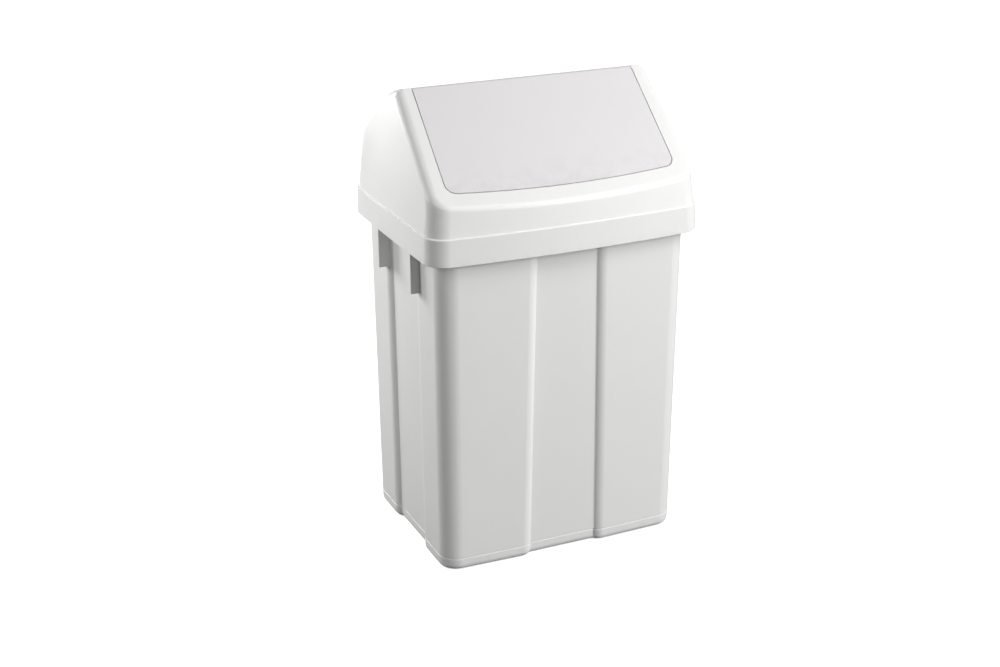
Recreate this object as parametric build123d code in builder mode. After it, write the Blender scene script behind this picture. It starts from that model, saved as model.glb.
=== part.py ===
from build123d import *
import math
import os

os.makedirs("parts", exist_ok=True)

# Swing-lid kitchen bin of moulded polypropylene. Millimetres; X is the width, the front faces -Y, Z is up.

# Bucket: a thin-walled tub with four proud corner columns and a recessed panel in each side
bucket_height = 402.8
bucket_wall = 2.2
bucket_floor = 2.6
side_draft = 3.0
end_draft = 4.5
base_bow = 3.0
top_bow = 4.6
bucket_corner = 22.0
foot_round = 7.0
foot_steps = 5
foot_line_height = 14.4
foot_line_width = 1.2
foot_line_depth = 0.7
foot_ring = 13.0
foot_lift = 2.4

# Recessed panels: half width at the sharp inner corner, depth, and the round of the column edge
front_panel_base = 41.0
front_panel_top = 35.5
side_panel = 40.0
panel_depth = 5.0
column_round = 15.0

# Rim of the bucket, and the two hollow gussets on each side that frame the hand-hold
rim_thickness = 2.4
rim_skirt_depth = 13.0
rim_clearance = 0.5
rim_over_side = 12.8
rim_over_end = 8.5
gusset_near = 43.0
gusset_width = 13.5
gusset_drop = 78.0

# Hem of the hood, the widest outline of the bin
hem_half_width = 165.0
hem_half_depth = 124.0
hem_side_bow = 1.6
hem_front_bow = 7.8
hem_corner = 25.0
hem_drop = 28.8
hem_draft = 1.0
hem_edge = 0.6
ledge_edge = 0.9
ledge_step = 1.6

# Hood above the hem
hood_wall = 2.0
hood_seat = 0.2
front_strip = 30.8
face_slope = 41.3
cheek_lean = 0.075
back_lean = 0.12
roof_slope = 10.0
roof_reach = 62.0
shoulder_height = 8.0
shoulder_rise = 52.0
hood_round = 11.0

# Axle and nose of the flap, just under the ridge
axle_radius = 1.5
axle_fit = 0.06
axle_run = 0.1
axle_hold = 13.0
axle_play = 0.2
axle_chamfer = 0.4
nose_radius = 5.0
nose_gap = 0.9
boss_radius = 5.6
boss_gap = 0.7
snap_width = 2.5

# Frame of the slanted face round the flap: its width beside the ridge, beside the flap's foot and below it
frame_side_top = 18.2
frame_side_foot = 22.0
frame_foot = 21.7

# Flap: visible panel, the lip behind its edge that stops it against the frame, and the balance leaf
flap_bow = 7.0
flap_corner = 12.0
flap_wall = 1.8
flap_gap = 1.1
lip_reach = 5.0
lip_wall = 1.5
lip_gap = 0.3
lip_start = 14.0
leaf_angle = 70.0
leaf_length = 90.0
leaf_margin = 13.4
leaf_wall = 2.0
web_wall = 2.0
web_reach = 62.0
bar_radius = 5.0
bar_fit = 0.1
bar_play = 0.3
bar_chamfer = 1.0
gutter_wall = 1.8
gutter_mouth = 7.0
gutter_end = 2.7

# Overlap by which a cutting form runs past the surface that it cuts
overlap = 1.0

# Faces whose normal rises more than this belong to the hood's top
level_limit = 0.25

# Heights and places that follow
ledge_height = bucket_height + hood_seat + hood_wall
hem_foot = ledge_height - hood_wall - hem_drop
crease_height = ledge_height + front_strip
body_half_width = hem_half_width - hem_draft - ledge_step
body_half_depth = hem_half_depth - hem_draft - ledge_step
top_half_width = hem_half_width - rim_over_side
top_half_depth = hem_half_depth - rim_over_end
base_half_width = top_half_width - side_draft
base_half_depth = top_half_depth - end_draft
slope = math.radians(face_slope)
down_slope = (-math.cos(slope), -math.sin(slope))
face_normal = (-math.sin(slope), math.cos(slope))
nose_rise = (body_half_depth - nose_radius * math.sin(slope)) * math.tan(slope)
axle_height = crease_height + nose_rise - nose_radius * math.cos(slope)
hood_top = axle_height + nose_radius
flap_length = nose_rise / math.sin(slope) - frame_foot
flap_foot_height = crease_height + frame_foot * math.sin(slope)
flap_half_top = body_half_width - cheek_lean * (axle_height - ledge_height) - frame_side_top
flap_half_foot = body_half_width - cheek_lean * (flap_foot_height - ledge_height) - frame_side_foot
roof_tilt = math.radians(roof_slope)
half_turn = (slope + roof_tilt) / 2
axle = (0.0, axle_height)
face_plane = Plane(origin=(0, nose_radius * face_normal[0], axle_height + nose_radius * face_normal[1]),
                   x_dir=(1, 0, 0), z_dir=(0, face_normal[0], face_normal[1]))


def mix(low, high, share):
    """Value between low and high at the given share."""
    return low + (high - low) * share


def bowed_outline(height, half_width, half_depth, side_bow, end_bow, corner):
    """Rounded rectangle with four sides that bow outward, at the given height."""
    with BuildSketch(Plane.XY.offset(height)) as outline:
        with BuildLine():
            ThreePointArc((-half_width, -half_depth), (0, -half_depth - end_bow), (half_width, -half_depth))
            ThreePointArc((half_width, -half_depth), (half_width + side_bow, 0), (half_width, half_depth))
            ThreePointArc((half_width, half_depth), (0, half_depth + end_bow), (-half_width, half_depth))
            ThreePointArc((-half_width, half_depth), (-half_width - side_bow, 0), (-half_width, -half_depth))
        make_face()
        fillet(outline.vertices(), corner)
    return outline.sketch


def bucket_section(height, inset):
    """Plan section of the bucket's wall at a height, set in from the outside by inset."""
    share = height / bucket_height
    half_width = mix(base_half_width, top_half_width, share) - inset
    half_depth = mix(base_half_depth, top_half_depth, share) - inset
    bow = mix(base_bow, top_bow, share)
    front_edge = mix(front_panel_base, front_panel_top, share)
    full_run = math.sqrt(column_round**2 - (column_round - panel_depth) ** 2)
    run = math.sqrt((column_round - inset) ** 2 - (column_round - inset - panel_depth) ** 2)
    front_start = front_edge + full_run
    side_start = side_panel + full_run
    face_y = -half_depth - bow * (1 - (front_start / half_width) ** 2)
    panel_y = face_y + panel_depth
    panel_x = half_width - panel_depth
    with BuildSketch(Plane.XY.offset(height)) as section:
        with BuildLine():
            Line((0, panel_y), (front_start - run, panel_y))
            TangentArc((front_start, face_y), (front_start - run, panel_y), tangent=(-1, 0))
            Line((front_start, face_y), (half_width, -half_depth))
            Line((half_width, -half_depth), (half_width, -side_start))
            TangentArc((half_width, -side_start), (panel_x, -side_start + run), tangent=(0, 1))
            Line((panel_x, -side_start + run), (panel_x, 0))
            mirror(about=Plane.XZ)
            mirror(about=Plane.YZ)
        make_face()
        corners = section.vertices().filter_by(lambda v: abs(abs(v.X) - half_width) < 0.01
                                               and abs(abs(v.Y) - half_depth) < 0.01)
        fillet(corners, bucket_corner - inset)
    return section.sketch


def foot_sections():
    """Plan sections that round the bottom edge over a quarter circle, from the ground up."""
    turns = [math.radians(90 * step / foot_steps) for step in range(foot_steps + 1)]
    return [bucket_section(foot_round * (1 - math.cos(turn)), foot_round * (1 - math.sin(turn)))
            for turn in turns]


def hem_outline(height, inset):
    """Plan of the hood's hem at a height: it draws in a little towards the ledge."""
    back = hem_draft * (height - hem_foot) / (ledge_height - hem_foot) + inset
    return bowed_outline(height, hem_half_width - back, hem_half_depth - back, hem_side_bow,
                         hem_front_bow, hem_corner - back)


def rim_outline(height, inset):
    """Outline of the rim, which follows the inside of the hood's hem."""
    back = hood_wall + rim_clearance + hem_draft + inset
    return bowed_outline(height, hem_half_width - back, hem_half_depth - back, hem_side_bow,
                         hem_front_bow, hem_corner - back)


def gusset_strips(height, inset):
    """The four gussets in plan, inside the rim's outline."""
    middle = gusset_near + gusset_width / 2
    with BuildSketch(Plane.XY.offset(height)) as strips:
        with Locations((0, middle), (0, -middle)):
            Rectangle(2 * hem_half_width, gusset_width - 2 * inset)
        add(rim_outline(0, inset), mode=Mode.INTERSECT)
    return strips.sketch


def body_outline(height, inset):
    """Plan of the hood above its hem: the cheeks lean in towards the ridge."""
    rise = height - ledge_height
    return bowed_outline(height, body_half_width - cheek_lean * rise - inset,
                         body_half_depth - back_lean * rise - inset,
                         hem_side_bow, hem_front_bow, hem_corner - ledge_step - inset)


def ridge_point(inset):
    """Ridge of the hood in side view, set in from both the slanted face and the roof by inset."""
    rise = (nose_radius - inset) / math.cos(half_turn)
    return (-rise * math.sin(slope - half_turn), axle_height + rise * math.cos(slope - half_turn))


def hood_profile(inset):
    """Side view of the hood: slanted face, sharp ridge, and a roof that curves down to the back."""
    back = body_half_depth + hem_front_bow + overlap - inset
    shoulder = ledge_height + shoulder_height
    low = hem_foot - hem_drop
    ridge = ridge_point(inset)
    face_run = 2 * hem_half_depth
    face_foot = (ridge[0] + face_run * down_slope[0], ridge[1] + face_run * down_slope[1])
    roof_pull = (ridge[0] + roof_reach * math.cos(roof_tilt), ridge[1] - roof_reach * math.sin(roof_tilt))
    with BuildSketch(Plane.YZ) as profile:
        with BuildLine():
            Line(face_foot, ridge)
            Bezier(ridge, roof_pull, (back, shoulder + shoulder_rise - inset), (back, shoulder))
            Polyline((back, shoulder), (back, low), (face_foot[0], low), face_foot)
        make_face()
    return profile.sketch


def hood_form(inset, foot):
    """Solid form of the hood above its hem, set in by inset: rounded outside, bevelled inside."""
    with BuildPart() as form:
        loft([body_outline(foot, inset), body_outline(hood_top + hood_round, inset)], ruled=True)
        extrude(hood_profile(inset), amount=2 * hem_half_width, both=True, mode=Mode.INTERSECT)
        shell_faces = form.faces().filter_by(lambda f: f.normal_at().Z > level_limit)
        edges = [e for f in shell_faces for e in f.edges()]
        rim_edges = [e for e in edges if sum(e.is_same(o) for o in edges) == 1]
        top_edges = [e for e in rim_edges if e.center().Z > ledge_height + ledge_step]
        if inset:
            chamfer(top_edges, (2 - math.sqrt(2)) * (hood_round - inset))
        else:
            fillet(top_edges, hood_round)
    return form.part


def flap_outline(grow):
    """Outline of the flap, flat on XY with the hinged edge on X, grown all round but at that edge."""
    half_top = flap_half_top + grow
    half_foot = flap_half_foot + grow
    foot = -flap_length - grow
    with BuildSketch() as outline:
        with BuildLine():
            Line((half_foot, foot), (half_top, 0))
            Line((half_top, 0), (-half_top, 0))
            Line((-half_top, 0), (-half_foot, foot))
            ThreePointArc((-half_foot, foot), (0, foot - flap_bow), (half_foot, foot))
        make_face()
        fillet(outline.vertices().group_by(Axis.Y)[0], flap_corner + grow)
    return outline.sketch


def along_axle(half_length, centre, radius, bore=0):
    """Round bar or tube section along X, as a sketch at its left end."""
    with BuildSketch(Plane.YZ.offset(-half_length)) as section:
        with Locations(centre):
            Circle(radius)
            if bore:
                Circle(bore, mode=Mode.SUBTRACT)
    return section.sketch


# Bucket, one moulding
gusset_foot = bucket_height - gusset_drop
floor_top = foot_lift + bucket_floor
with BuildPart() as bucket:
    loft(foot_sections() + [bucket_section(bucket_height, 0)], ruled=True)
    with BuildSketch(Plane.XY.offset(foot_line_height)):
        add(bucket_section(foot_line_height, -foot_line_depth))
        add(bucket_section(foot_line_height, foot_line_depth), mode=Mode.SUBTRACT)
    extrude(amount=foot_line_width, mode=Mode.SUBTRACT)
    extrude(rim_outline(bucket_height - rim_thickness, 0), amount=rim_thickness)
    with BuildSketch(Plane.XY.offset(bucket_height - rim_skirt_depth)):
        add(rim_outline(0, 0))
        add(rim_outline(0, bucket_wall), mode=Mode.SUBTRACT)
    extrude(amount=rim_skirt_depth)
    extrude(gusset_strips(gusset_foot, 0), amount=gusset_drop)
    loft([bucket_section(floor_top, bucket_wall), bucket_section(bucket_height + overlap, bucket_wall)],
         ruled=True, mode=Mode.SUBTRACT)
    extrude(gusset_strips(gusset_foot + bucket_wall, bucket_wall), amount=gusset_drop, mode=Mode.SUBTRACT)
    foot_back = panel_depth + foot_ring
    extrude(bowed_outline(0, base_half_width - foot_back, base_half_depth - foot_back, base_bow / 2, base_bow,
                          bucket_corner / 2), amount=foot_lift, mode=Mode.SUBTRACT)
bucket.part.label = "bucket"
export_step(bucket.part, "parts/bucket.step")

# Bosses inside the cheeks of the hood; the axle's ends snap into them from below
ledge_foot = ledge_height - hood_wall
boss_face = flap_half_top + boss_gap
axle_half = boss_face + axle_hold
bore_half = axle_half + axle_play
outer_form = hood_form(0, ledge_foot)
with BuildPart() as axle_bosses:
    extrude(along_axle(body_half_width, axle, boss_radius), amount=2 * body_half_width)
    with BuildSketch(Plane.XY.offset(axle_height)):
        Rectangle(2 * bore_half, snap_width)
    extrude(amount=-2 * boss_radius, mode=Mode.SUBTRACT)
    extrude(along_axle(boss_face, axle, nose_radius + nose_gap), amount=2 * boss_face, mode=Mode.SUBTRACT)
    add(outer_form, mode=Mode.INTERSECT)

# Hood, one moulding: hem band, ledge, vertical strip, slanted face with the mouth, cheeks and roof
with BuildPart() as hood:
    loft([hem_outline(hem_foot, hem_edge), hem_outline(hem_foot + hem_edge, 0),
          hem_outline(ledge_height - ledge_edge, 0), hem_outline(ledge_height, ledge_edge)], ruled=True)
    add(outer_form)
    loft([hem_outline(hem_foot, hood_wall), hem_outline(ledge_foot, hood_wall)], ruled=True,
         mode=Mode.SUBTRACT)
    add(hood_form(hood_wall, ledge_foot - overlap), mode=Mode.SUBTRACT)
    add(axle_bosses.part)
    with BuildSketch(face_plane.offset(overlap)):
        add(flap_outline(flap_gap))
    extrude(amount=-hood_wall - 2 * overlap, mode=Mode.SUBTRACT)
    extrude(along_axle(boss_face, axle, nose_radius + nose_gap), amount=2 * boss_face, mode=Mode.SUBTRACT)
    extrude(along_axle(bore_half, axle, axle_radius + axle_fit), amount=2 * bore_half, mode=Mode.SUBTRACT)
hood.part.label = "hood"
export_step(hood.part, "parts/hood.step")

# Axle: a steel wire whose ends snap up into the bosses in the cheeks
with BuildPart() as axle_rod:
    extrude(along_axle(axle_half, axle, axle_radius), amount=2 * axle_half)
    chamfer(axle_rod.faces().filter_by(Axis.X).edges(), axle_chamfer)
axle_rod.part.label = "axle_rod"
export_step(axle_rod.part, "parts/axle_rod.step")

# Swing flap, one moulding: panel, stop lip, nose round the axle, balance leaf, end webs and bar gutter
leaf_tilt = math.radians(leaf_angle)
leaf_run = (math.cos(leaf_tilt), -math.sin(leaf_tilt))
gutter_radius = bar_radius + bar_fit + gutter_wall
bar_reach = leaf_length + gutter_radius - gutter_wall / 2
bar_centre = (bar_reach * leaf_run[0], axle_height + bar_reach * leaf_run[1])
lip_depth = hood_wall + lip_gap + lip_wall
leaf_middle = (leaf_length / 2 * leaf_run[0], axle_height + leaf_length / 2 * leaf_run[1])
web_rise = nose_radius - flap_wall / 2
web_top = (web_rise * face_normal[0], axle_height + web_rise * face_normal[1])
web_front = (web_top[0] + web_reach * down_slope[0], web_top[1] + web_reach * down_slope[1])
web_back = (web_reach * leaf_run[0], axle_height + web_reach * leaf_run[1])
leaf_half_width = flap_half_top - leaf_margin
gutter_half = leaf_half_width - gutter_end
bar_half_length = gutter_half - bar_play
with BuildPart() as swing_flap:
    with BuildSketch(face_plane):
        add(flap_outline(0))
    extrude(amount=-flap_wall)
    with BuildSketch(face_plane):
        add(flap_outline(0))
        add(flap_outline(-flap_wall), mode=Mode.SUBTRACT)
    extrude(amount=-lip_depth)
    with BuildSketch(face_plane.offset(-lip_depth)):
        add(flap_outline(lip_reach))
        Rectangle(2 * hem_half_width, 2 * lip_start, mode=Mode.SUBTRACT)
        add(flap_outline(-flap_wall), mode=Mode.SUBTRACT)
    extrude(amount=lip_wall)
    extrude(along_axle(flap_half_top, axle, nose_radius), amount=2 * flap_half_top)
    with BuildSketch(Plane.YZ.offset(-leaf_half_width)):
        with Locations(leaf_middle):
            Rectangle(leaf_length, leaf_wall, rotation=-leaf_angle)
        with Locations(bar_centre):
            Circle(gutter_radius)
    extrude(amount=2 * leaf_half_width)
    for side in (-leaf_half_width, leaf_half_width - web_wall):
        with BuildSketch(Plane.YZ.offset(side)):
            with BuildLine():
                Polyline(axle, web_top, web_front, web_back, axle)
            make_face()
        extrude(amount=web_wall)
    extrude(along_axle(gutter_half, bar_centre, bar_radius + bar_fit), amount=2 * gutter_half,
            mode=Mode.SUBTRACT)
    with BuildSketch(Plane.YZ.offset(-gutter_half)):
        with Locations((bar_centre[0] + gutter_radius / 2, bar_centre[1])):
            Rectangle(gutter_radius, gutter_mouth)
    extrude(amount=2 * gutter_half, mode=Mode.SUBTRACT)
    extrude(along_axle(boss_face, axle, axle_radius + axle_run), amount=2 * boss_face, mode=Mode.SUBTRACT)
swing_flap.part.label = "swing_flap"
export_step(swing_flap.part, "parts/swing_flap.step")

# Counterweight: a round steel bar snapped into the gutter along the balance leaf
with BuildPart() as counterweight_bar:
    extrude(along_axle(bar_half_length, bar_centre, bar_radius), amount=2 * bar_half_length)
    chamfer(counterweight_bar.faces().filter_by(Axis.X).edges(), bar_chamfer)
counterweight_bar.part.label = "counterweight_bar"
export_step(counterweight_bar.part, "parts/counterweight_bar.step")
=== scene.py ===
import math

import bmesh
import bpy
from mathutils import Matrix, Vector


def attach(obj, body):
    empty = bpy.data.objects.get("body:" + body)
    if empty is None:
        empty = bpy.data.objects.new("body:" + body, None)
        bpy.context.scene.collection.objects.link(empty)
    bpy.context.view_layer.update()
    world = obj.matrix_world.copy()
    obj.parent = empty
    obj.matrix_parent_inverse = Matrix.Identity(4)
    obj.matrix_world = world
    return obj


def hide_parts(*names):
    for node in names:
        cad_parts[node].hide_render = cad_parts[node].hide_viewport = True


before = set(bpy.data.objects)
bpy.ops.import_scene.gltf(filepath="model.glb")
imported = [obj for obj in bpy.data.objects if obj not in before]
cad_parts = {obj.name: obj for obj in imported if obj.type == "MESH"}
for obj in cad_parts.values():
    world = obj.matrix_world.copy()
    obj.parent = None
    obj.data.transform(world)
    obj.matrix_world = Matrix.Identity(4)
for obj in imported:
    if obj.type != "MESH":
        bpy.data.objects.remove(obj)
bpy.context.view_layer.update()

# Camera: where it stands round the bin and the lens it has, in metres, degrees and millimetres
CAMERA_TURN = 24.12
CAMERA_RISE = 21.32
CAMERA_ROLL = -0.26
CAMERA_DISTANCE = 1.9552
CAMERA_TARGET = Vector((-0.0302, 0.0, 0.2370))
CAMERA_LENS = 59.7
SENSOR_WIDTH = 36.0
VIEW_DEPTH = 50

# Soft lamps: name, turn about Z from +X and rise in degrees, distance in metres, watts
LAMPS = (
    ("back_left_softbox", 121, 15, 1.3, 13.4),
    ("left_softbox", 167, 20, 1.4, 7.2),
    ("front_right_softbox", 306, 18, 3.4, 80),
    ("high_right_softbox", 312, 47, 2.2, 23),
)
LAMP_TARGET = Vector((0.0, 0.0, 0.3))
LAMP_SPREAD = 0.46

# Floor: the share of light that it returns to the bin and to the camera, and the glow that whitens it away
# from the bin's foot, from GLOW_START to GLOW_END metres
FLOOR_HALF = 12.0
FLOOR_SHADE = 0.2
FLOOR_WHITE = 0.9
FLOOR_ROUGHNESS = 0.9
FLOOR_GLOW_NEAR = 0.62
FLOOR_GLOW_FAR = 1.0
GLOW_START = 0.25
GLOW_END = 1.1
WORLD_LEVEL = 0.08
PAPER_WHITE = (1, 1, 1, 1)

# Skins: merging of the solids' loose triangles, joining of their flat stretches, the angle up to which they
# are shaded smooth, and the rounding of edges sharper than EDGE_ANGLE
MERGE_DISTANCE = 1e-5
FLAT_ANGLE = math.radians(0.3)
SMOOTH_ANGLE = math.radians(28)
EDGE_ANGLE = math.radians(50)
EDGE_STEPS = 3
FACE_WEIGHT = 90

# Polypropylene: its index of refraction, the share of light that passes under the surface, and how far in
PLASTIC_IOR = 1.49
MILKINESS = 0.15
MILK_DEPTH = 0.0015
MILK_TINT = (1, 0.97, 0.92)

# Eggshell grain of the mould, in bumps per metre, and its draw streaks as a share of the grain
GRAIN_SCALE = 900
GRAIN_DETAIL = 3
GRAIN_DEPTH = 0.00009
GRAIN_STRENGTH = 0.3
STREAK_DETAIL = 3
STREAK_SHARE = 0.4
STREAK_GLOSS = 0.03

# Slow clouds in the tone and in the gloss
CLOUD_SCALE = 9
CLOUD_DETAIL = 5
CLOUD_TONE = 0.985
CLOUD_GLOSS = 0.05
MIDDLE_LOW = 0.3
MIDDLE_HIGH = 0.7

# Band: the darker tone that it gives one range of heights on each piece, and the patches in which it shows
BAND_TONE = 0.93
PATCH_SCALE = 70
PATCH_DETAIL = 6
PATCH_LOW = 0.42
PATCH_HIGH = 0.62

# Drawn steel: scratches that run along X
SCRATCH_STRETCH = (6, 900, 900)
SCRATCH_DETAIL = 4
SCRATCH_GLOSS = 0.08
SCRATCH_STRENGTH = 0.2
SCRATCH_DEPTH = 0.00005


def turned(turn, rise):
    """Unit vector at a turn about Z from +X and a rise from the floor, in degrees."""
    turn, rise = math.radians(turn), math.radians(rise)
    return Vector((math.cos(turn) * math.cos(rise), math.sin(turn) * math.cos(rise), math.sin(rise)))


def link_to_scene(name, data):
    """New object of the scene, at the origin."""
    made = bpy.data.objects.new(name, data)
    bpy.context.scene.collection.objects.link(made)
    return made


def add_camera():
    """Camera on a sphere round its target: turned from the front towards the left side, and rolled a little."""
    turn, rise, roll = (math.radians(a) for a in (CAMERA_TURN, CAMERA_RISE, CAMERA_ROLL))
    back = Vector((-math.sin(turn) * math.cos(rise), -math.cos(turn) * math.cos(rise), math.sin(rise)))
    right = (-back).cross(Vector((0, 0, 1))).normalized()
    up = back.cross(right)
    side = right * math.cos(roll) + up * math.sin(roll)
    top = up * math.cos(roll) - right * math.sin(roll)
    data = bpy.data.cameras.new("camera")
    data.lens = CAMERA_LENS
    data.sensor_width = SENSOR_WIDTH
    data.clip_end = VIEW_DEPTH
    camera = link_to_scene("camera", data)
    facing = Matrix((side, top, back)).transposed().to_4x4()
    camera.matrix_world = Matrix.Translation(CAMERA_TARGET + back * CAMERA_DISTANCE) @ facing
    bpy.context.scene.camera = camera


def add_lamp(name, turn, rise, distance, power):
    """Square soft lamp that aims at the bin's middle and is as wide as LAMP_SPREAD of its distance."""
    way = turned(turn, rise)
    data = bpy.data.lights.new(name, "AREA")
    data.shape = "SQUARE"
    data.size = LAMP_SPREAD * distance
    data.energy = power
    lamp = link_to_scene(name, data)
    lamp.location = LAMP_TARGET + way * distance
    lamp.visible_camera = False
    lamp.rotation_mode = "QUATERNION"
    lamp.rotation_quaternion = way.to_track_quat("Z", "Y")


def feed(tree, socket, value):
    """Links an output to a socket, or sets the socket itself to a constant."""
    if isinstance(value, bpy.types.NodeSocket):
        tree.links.new(value, socket)
    else:
        socket.default_value = value


def own_place(tree):
    """The piece's own coordinates, in metres."""
    return tree.nodes.new("ShaderNodeTexCoord").outputs["Object"]


def noise(tree, scale, detail, stretch=(1, 1, 1)):
    """Noise from 0 to 1 on the piece's own coordinates times stretch, axis by axis, times scale."""
    squeeze = tree.nodes.new("ShaderNodeMapping")
    feed(tree, squeeze.inputs["Vector"], own_place(tree))
    feed(tree, squeeze.inputs["Scale"], stretch)
    pattern = tree.nodes.new("ShaderNodeTexNoise")
    feed(tree, pattern.inputs["Vector"], squeeze.outputs["Vector"])
    feed(tree, pattern.inputs["Scale"], scale)
    feed(tree, pattern.inputs["Detail"], detail)
    return pattern.outputs["Fac"]


def between(tree, value, to_low, to_high, from_low=0, from_high=1, easing="LINEAR"):
    """Value carried from one range to another, and held at its ends."""
    change = tree.nodes.new("ShaderNodeMapRange")
    change.interpolation_type = easing
    feed(tree, change.inputs["Value"], value)
    feed(tree, change.inputs["From Min"], from_low)
    feed(tree, change.inputs["From Max"], from_high)
    feed(tree, change.inputs["To Min"], to_low)
    feed(tree, change.inputs["To Max"], to_high)
    return change.outputs["Result"]


def combined(tree, operation, first, second):
    """Sum or product of two values."""
    step = tree.nodes.new("ShaderNodeMath")
    step.operation = operation
    feed(tree, step.inputs[0], first)
    feed(tree, step.inputs[1], second)
    return step.outputs["Value"]


def blended(tree, share, first, second):
    """Colour between two colours: the first at share 0 and the second at share 1."""
    blend = tree.nodes.new("ShaderNodeMix")
    blend.data_type = "RGBA"
    feed(tree, blend.inputs["Factor"], share)
    feed(tree, blend.inputs["A"], first)
    feed(tree, blend.inputs["B"], second)
    return blend.outputs["Result"]


def emboss(tree, shader, height, strength, depth):
    """Relief of the surface from a height pattern, depth metres from 0 to 1."""
    bump = tree.nodes.new("ShaderNodeBump")
    feed(tree, bump.inputs["Height"], height)
    feed(tree, bump.inputs["Strength"], strength)
    feed(tree, bump.inputs["Distance"], depth)
    feed(tree, shader.inputs["Normal"], bump.outputs["Normal"])


def new_material(name):
    """New material, its node tree and its shader."""
    material = bpy.data.materials.new(name)
    material.use_nodes = True
    return material, material.node_tree, material.node_tree.nodes["Principled BSDF"]


def shaded(colour, tone):
    """Colour with its three parts times tone, and opaque."""
    return (*(part * tone for part in colour), 1)


def plastic(name, colour, roughness, streaks, band_full, band_gone, band_gloss):
    """Moulded polypropylene: eggshell grain, faint draw streaks, cloudy tone, and a darker, patchy band at one range
    of heights.

    Height is the grain plus a share of the streaks, which are noise squeezed along the way that they run.
    Roughness is the middle value, plus the clouds', the streaks' and the band's parts. The band is full at the
    height band_full and gone at band_gone, broken up into patches, and darkens the tone there; a positive band_gloss
    roughens the surface and a negative one makes it glossier.
    """
    material, tree, shader = new_material(name)
    feed(tree, shader.inputs["IOR"], PLASTIC_IOR)
    feed(tree, shader.inputs["Subsurface Weight"], MILKINESS)
    feed(tree, shader.inputs["Subsurface Radius"], MILK_TINT)
    feed(tree, shader.inputs["Subsurface Scale"], MILK_DEPTH)

    grain = noise(tree, GRAIN_SCALE, GRAIN_DETAIL)
    streak = noise(tree, 1, STREAK_DETAIL, streaks)
    cloud = noise(tree, CLOUD_SCALE, CLOUD_DETAIL)
    patches = between(tree, noise(tree, PATCH_SCALE, PATCH_DETAIL), 0, 1, PATCH_LOW, PATCH_HIGH)
    parts = tree.nodes.new("ShaderNodeSeparateXYZ")
    feed(tree, parts.inputs["Vector"], own_place(tree))
    band = between(tree, parts.outputs["Z"], 1, 0, band_full, band_gone)
    patchy_band = combined(tree, "MULTIPLY", band, patches)

    relief = combined(tree, "ADD", grain, between(tree, streak, 0, STREAK_SHARE))
    emboss(tree, shader, relief, GRAIN_STRENGTH, GRAIN_DEPTH)

    cloud_part = between(tree, cloud, roughness - CLOUD_GLOSS, roughness + CLOUD_GLOSS, MIDDLE_LOW, MIDDLE_HIGH)
    streak_part = between(tree, streak, -STREAK_GLOSS, STREAK_GLOSS, MIDDLE_LOW, MIDDLE_HIGH)
    band_gloss_part = between(tree, patchy_band, 0, band_gloss)
    gloss = combined(tree, "ADD", combined(tree, "ADD", cloud_part, streak_part), band_gloss_part)
    feed(tree, shader.inputs["Roughness"], gloss)

    tone = blended(tree, cloud, shaded(colour, CLOUD_TONE), shaded(colour, 1))
    # The tone is darker in the patchy band at the given heights
    feed(tree, shader.inputs["Base Color"], blended(tree, patchy_band, tone, shaded(colour, BAND_TONE)))
    return material


def steel(name, colour, roughness):
    """Bright drawn steel: noise drawn out along X gives the scratches' relief and their gloss."""
    material, tree, shader = new_material(name)
    feed(tree, shader.inputs["Metallic"], 1)
    feed(tree, shader.inputs["Base Color"], shaded(colour, 1))
    scratches = noise(tree, 1, SCRATCH_DETAIL, SCRATCH_STRETCH)
    gloss = between(tree, scratches, roughness - SCRATCH_GLOSS, roughness + SCRATCH_GLOSS)
    feed(tree, shader.inputs["Roughness"], gloss)
    emboss(tree, shader, scratches, SCRATCH_STRENGTH, SCRATCH_DEPTH)
    return material


def floor_paper():
    """Matt paper, pale to the camera alone, with a glow that grows with the distance from the bin's foot."""
    material, tree, shader = new_material("floor_paper")
    seen = tree.nodes.new("ShaderNodeLightPath").outputs["Is Camera Ray"]
    feed(tree, shader.inputs["Roughness"], FLOOR_ROUGHNESS)
    feed(tree, shader.inputs["Specular IOR Level"], 0)
    feed(tree, shader.inputs["Base Color"], between(tree, seen, FLOOR_SHADE, FLOOR_WHITE))
    reach = tree.nodes.new("ShaderNodeVectorMath")
    reach.operation = "LENGTH"
    feed(tree, reach.inputs[0], own_place(tree))
    glow = between(tree, reach.outputs["Value"], FLOOR_GLOW_NEAR, FLOOR_GLOW_FAR, GLOW_START, GLOW_END, "SMOOTHSTEP")
    feed(tree, shader.inputs["Emission Color"], PAPER_WHITE)
    feed(tree, shader.inputs["Emission Strength"], combined(tree, "MULTIPLY", glow, seen))
    return material


def add_floor():
    """Wide square floor under the bin."""
    half = FLOOR_HALF
    mesh = bpy.data.meshes.new("floor")
    mesh.from_pydata([(-half, -half, 0), (half, -half, 0), (half, half, 0), (-half, half, 0)], [], [(0, 1, 2, 3)])
    mesh.materials.append(floor_paper())
    floor = link_to_scene("floor", mesh)


def add_world(strength):
    """World that is white to the camera and gives the bin a plain pale light of this strength."""
    world = bpy.data.worlds.new("studio")
    world.use_nodes = True
    tree = world.node_tree
    background = tree.nodes["Background"]
    seen = tree.nodes.new("ShaderNodeLightPath").outputs["Is Camera Ray"]
    feed(tree, background.inputs["Strength"], between(tree, seen, strength, 1))
    feed(tree, background.inputs["Color"], PAPER_WHITE)
    bpy.context.scene.world = world


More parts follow.
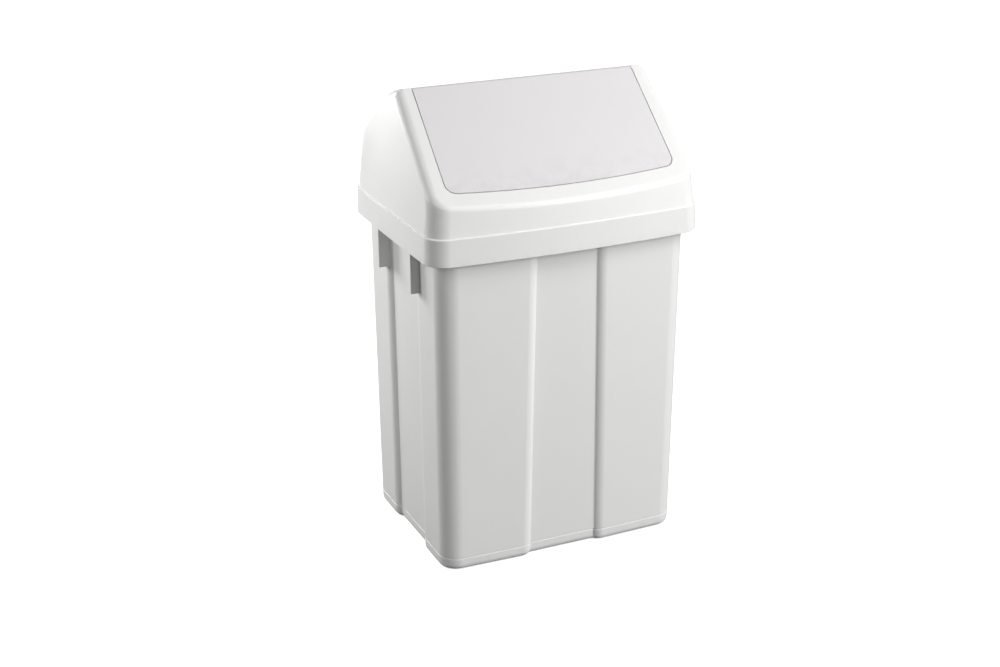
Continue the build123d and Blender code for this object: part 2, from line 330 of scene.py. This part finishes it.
def smooth_copy(node, body, material, edge_round):
    """Skin of a node: its triangles merged and joined, its sharp edges rounded, shaded smooth and dressed."""
    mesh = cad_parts[node].data.copy()
    work = bmesh.new()
    work.from_mesh(mesh)
    bmesh.ops.remove_doubles(work, verts=work.verts, dist=MERGE_DISTANCE)
    bmesh.ops.dissolve_limit(work, angle_limit=FLAT_ANGLE, verts=work.verts, edges=work.edges)
    work.to_mesh(mesh)
    work.free()
    mesh.shade_smooth()
    mesh.set_sharp_from_angle(angle=SMOOTH_ANGLE)
    mesh.materials.clear()
    mesh.materials.append(material)
    piece = link_to_scene(node + "_skin", mesh)
    rounding = piece.modifiers.new("rounding", "BEVEL")
    rounding.width = edge_round
    rounding.segments = EDGE_STEPS
    rounding.limit_method = "ANGLE"
    rounding.angle_limit = EDGE_ANGLE
    even = piece.modifiers.new("even", "WEIGHTED_NORMAL")
    even.keep_sharp = True
    even.weight = FACE_WEIGHT
    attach(piece, body)
    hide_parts(node)


def paint(node, material):
    """Gives a solid's own slots a material."""
    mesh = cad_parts[node].data
    mesh.materials.clear()
    mesh.materials.append(material)


bpy.context.scene.view_settings.view_transform = "Standard"
add_camera()
add_world(WORLD_LEVEL)
add_floor()
for lamp_row in LAMPS:
    add_lamp(*lamp_row)

# The band darkens and roughens the bucket at its foot and the hood along its hem's lower edge, and darkens the flap
# low down while making it glossier
bucket_plastic = plastic(
    "bucket_plastic", (0.83, 0.83, 0.82), roughness=0.42, streaks=(260, 260, 5),
    band_full=0.002, band_gone=0.016, band_gloss=0.14)
hood_plastic = plastic(
    "hood_plastic", (0.85, 0.85, 0.835), roughness=0.38, streaks=(70, 70, 70),
    band_full=0.374, band_gone=0.383, band_gloss=0.1)
flap_plastic = plastic(
    "flap_plastic", (0.75, 0.735, 0.745), roughness=0.45, streaks=(8, 200, 200),
    band_full=0.442, band_gone=0.475, band_gloss=-0.1)
bright_steel = steel("bright_steel", (0.62, 0.62, 0.63), roughness=0.3)

smooth_copy("bucket", "bucket", bucket_plastic, 0.0003)
smooth_copy("hood", "hood", hood_plastic, 0.0004)
smooth_copy("swing_flap", "flap", flap_plastic, 0.0005)
paint("axle_rod", bright_steel)
paint("counterweight_bar", bright_steel)
